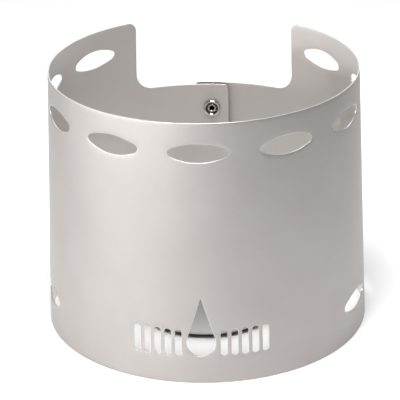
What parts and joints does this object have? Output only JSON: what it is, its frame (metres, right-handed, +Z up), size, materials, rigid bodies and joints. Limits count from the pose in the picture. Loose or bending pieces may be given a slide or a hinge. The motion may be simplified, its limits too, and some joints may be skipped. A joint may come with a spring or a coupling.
{
  "type": "alcohol spirit stove",
  "caption": "Camping spirit stove: a rolled steel windscreen carries the pot on its rim, closes with press studs and stands round a lift-out spirit burner with a screw cap and flame regulator.",
  "frame": {"origin": "centre of the burner's flat base, on the windscreen's axis, at floor level", "axes": "+Z up; the seam with its press studs and the notch are on +Y; the cut-out emblem is near -Y"},
  "size_m": [0.138, 0.1411, 0.1125],
  "materials": {
    "screen_steel": "satin, bead blasted, bright cut edges",
    "snap_plated": "bright nickel plate",
    "spring_steel": "drawn wire",
    "burner_steel": "spun stainless, satin, heat tinted at the jets",
    "wick_cotton": "loose cotton",
    "seal_rubber": "moulded"
  },
  "bodies": {
    "screen": {"screen_sheet": "screen_steel", "upper_snap_stud": "snap_plated", "upper_snap_eyelet": "snap_plated", "lower_snap_stud": "snap_plated", "lower_snap_eyelet": "snap_plated"},
    "flap": {"screen_flap": "screen_steel", "upper_snap_cap": "snap_plated", "upper_snap_socket": "snap_plated", "upper_snap_spring": "spring_steel", "lower_snap_cap": "snap_plated", "lower_snap_socket": "snap_plated", "lower_snap_spring": "spring_steel"},
    "burner": {"burner_cup": "burner_steel", "burner_well": "burner_steel", "wick_ring": "wick_cotton"},
    "seal": {"cap_seal": "seal_rubber"},
    "cap": {"screw_cap": "burner_steel"},
    "regulator": {"regulator_ring": "burner_steel", "shutter_rivet": "spring_steel"},
    "shutter": {"regulator_shutter": "burner_steel"},
    "handle": {"regulator_handle": "spring_steel"}
  },
  "joints": [
    {"name": "flap_flex", "type": "hinge", "parent": "screen", "child": "flap", "pos_m": [0.02496, 0.06537, 0], "axis": [0.0133, 0.0329, -0.9994], "range_deg": [0, 20]},
    {"name": "burner_lift", "type": "slide", "parent": "screen", "child": "burner", "axis": [0, 0, 1], "range_m": [0, 0.13]},
    {"name": "cap_lift", "type": "slide", "parent": "burner", "child": "seal", "axis": [0, 0, 1], "range_m": [0, 0.09]},
    {"name": "cap_turn", "type": "hinge", "parent": "seal", "child": "cap", "pos_m": [0, 0, 0.04], "axis": [0, 0, 1], "range_deg": [0, 540]},
    {"name": "regulator_lift", "type": "slide", "parent": "seal", "child": "regulator", "axis": [0, 0, 1], "range_m": [0, 0.11]},
    {"name": "shutter_swing", "type": "hinge", "parent": "regulator", "child": "shutter", "pos_m": [0, 0.0303, 0.041], "axis": [0, 0, 1], "range_deg": [0, 80]},
    {"name": "handle_fold", "type": "hinge", "parent": "regulator", "child": "handle", "pos_m": [-0.0363, 0, 0.036], "axis": [0, 1, 0], "range_deg": [-10, 215]}
  ]
}
